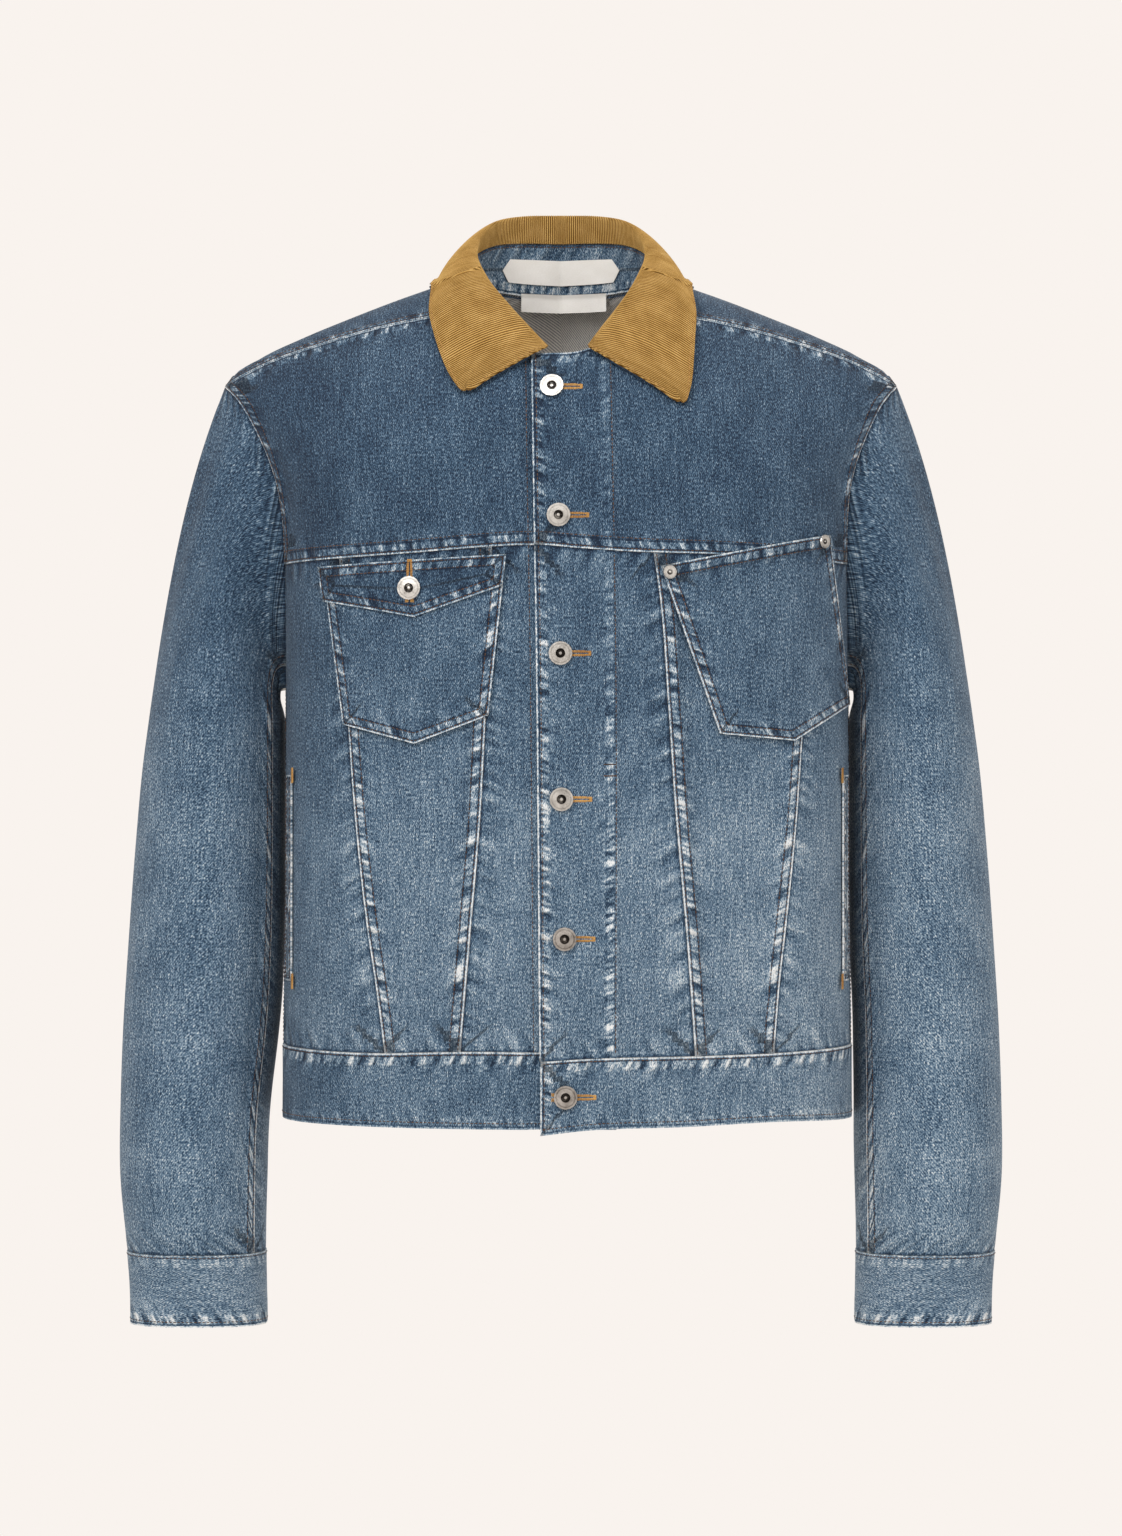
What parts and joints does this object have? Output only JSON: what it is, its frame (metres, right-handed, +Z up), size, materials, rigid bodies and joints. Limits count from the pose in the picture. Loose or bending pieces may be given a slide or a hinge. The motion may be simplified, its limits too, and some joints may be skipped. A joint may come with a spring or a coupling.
{
  "type": "denim jacket",
  "caption": "Cropped denim jacket with a turned-down corduroy collar, button front, chest pockets and cuffed sleeves, standing hollow as if worn.",
  "frame": {"origin": "middle of the base of the neck, where the wearer's shoulders carry the jacket", "axes": "+Z up, -Y out of the front, +X towards the wearer's left"},
  "size_m": [0.6424, 0.2567, 0.8126],
  "materials": {
    "denim": "washed indigo twill",
    "corduroy": "ribbed pile",
    "metal": "satin",
    "label": "plain woven"
  },
  "bodies": {
    "root": {"back_panel": "denim", "back_yoke": "denim", "chest_flap": "denim", "chest_pocket": "denim", "collar_leaf": "corduroy", "collar_stand": "denim", "cuff_button_left": "metal", "cuff_button_right": "metal", "cuff_left": "denim", "cuff_right": "denim", "flap_button": "metal", "front_button_1": "metal", "front_button_2": "metal", "front_button_3": "metal", "front_button_4": "metal", "front_button_5": "metal", "front_button_6": "metal", "front_centre_left": "denim", "front_centre_right": "denim", "front_mid_left": "denim", "front_mid_right": "denim", "front_side_left": "denim", "front_side_right": "denim", "front_yoke_left": "denim", "front_yoke_right": "denim", "label_lower": "label", "label_upper": "label", "pocket_rivet_1": "metal", "pocket_rivet_2": "metal", "side_welt_left": "denim", "side_welt_right": "denim", "slant_pocket": "denim", "sleeve_top_left": "denim", "sleeve_top_right": "denim", "sleeve_under_left": "denim", "sleeve_under_right": "denim", "under_collar": "denim", "waistband_back": "denim", "waistband_left": "denim", "waistband_right": "denim"}
  },
  "joints": []
}
